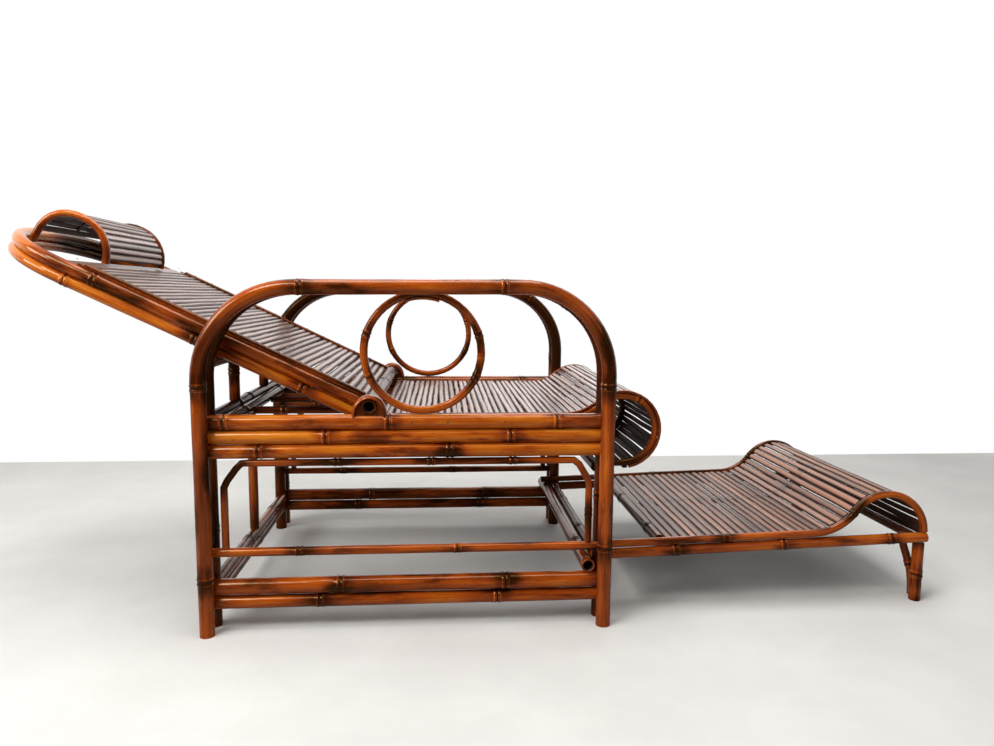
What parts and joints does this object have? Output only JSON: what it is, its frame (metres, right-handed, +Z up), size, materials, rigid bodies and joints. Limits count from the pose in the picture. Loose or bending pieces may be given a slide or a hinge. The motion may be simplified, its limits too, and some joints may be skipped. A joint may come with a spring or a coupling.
{
  "type": "folding recliner",
  "caption": "Bent bamboo recliner with slatted seat and rolled front edge, hinged slatted backrest with an arched headrest, and a humped slatted footrest that slides out.",
  "frame": {"origin": "middle of the object's footprint, on the floor, as it stands open in the picture", "axes": "+X towards the footrest, -X towards the headrest, +Z up, near side frame at -Y"},
  "size_m": [1.8352, 0.6684, 0.776],
  "materials": {
    "pole": "gloss lacquered bamboo",
    "dark_pole": "gloss dark lacquered bamboo",
    "slats": "satin split bamboo"
  },
  "bodies": {
    "base": {"hoop_outer_near": "pole", "hoop_outer_far": "pole", "hoop_inner_near": "pole", "hoop_inner_far": "pole", "top_rail_near": "pole", "top_rail_far": "pole", "side_rail_upper_near": "pole", "side_rail_upper_far": "pole", "side_rail_lower_near": "pole", "side_rail_lower_far": "pole", "base_rail_upper_near": "pole", "base_rail_upper_far": "pole", "base_rail_lower_near": "pole", "base_rail_lower_far": "pole", "guide_rail_near": "pole", "guide_rail_far": "pole", "bracket_frame_near": "pole", "bracket_frame_far": "pole", "arm_ring_near": "pole", "arm_ring_far": "pole", "pivot_strap_near": "dark_pole", "pivot_strap_far": "dark_pole", "rear_post_near": "pole", "rear_post_far": "pole", "seat_rim_near": "pole", "seat_rim_far": "pole", "seat_runner_near": "dark_pole", "seat_runner_far": "dark_pole", "rear_top_rail": "pole", "rear_seat_rail": "dark_pole", "rear_base_rail_upper": "pole", "rear_base_rail_lower": "pole", "rear_lower_post": "pole", "front_cross_rail": "dark_pole", "rear_bearer": "dark_pole", "seat_bearer_1": "dark_pole", "seat_bearer_2": "dark_pole", "seat_slats": "slats"},
    "backrest": {"back_tube": "pole", "back_hoop_upper": "pole", "back_hoop_lower": "pole", "back_slats": "slats", "back_batten_near": "pole", "back_batten_far": "pole", "headrest_rod_near": "pole", "headrest_rod_far": "pole", "headrest_slats": "slats"},
    "footrest": {"foot_roller": "pole", "foot_rim_near": "pole", "foot_rim_far": "pole", "foot_rail_near": "pole", "foot_rail_far": "pole", "foot_inner_pole": "dark_pole", "foot_deck_pole": "dark_pole", "foot_end_pole": "dark_pole", "foot_slats": "slats", "foot_leg_near": "pole", "foot_leg_far": "pole", "foot_brace_near": "dark_pole", "foot_brace_far": "dark_pole"}
  },
  "joints": [
    {"name": "backrest_hinge", "type": "hinge", "parent": "base", "child": "backrest", "pos_m": [-0.20825, 0, 0.4173], "axis": [0, 1, 0], "range_deg": [0, 150]},
    {"name": "footrest_slide", "type": "slide", "parent": "base", "child": "footrest", "axis": [1, 0, 0], "range_m": [-0.65, 0]}
  ]
}
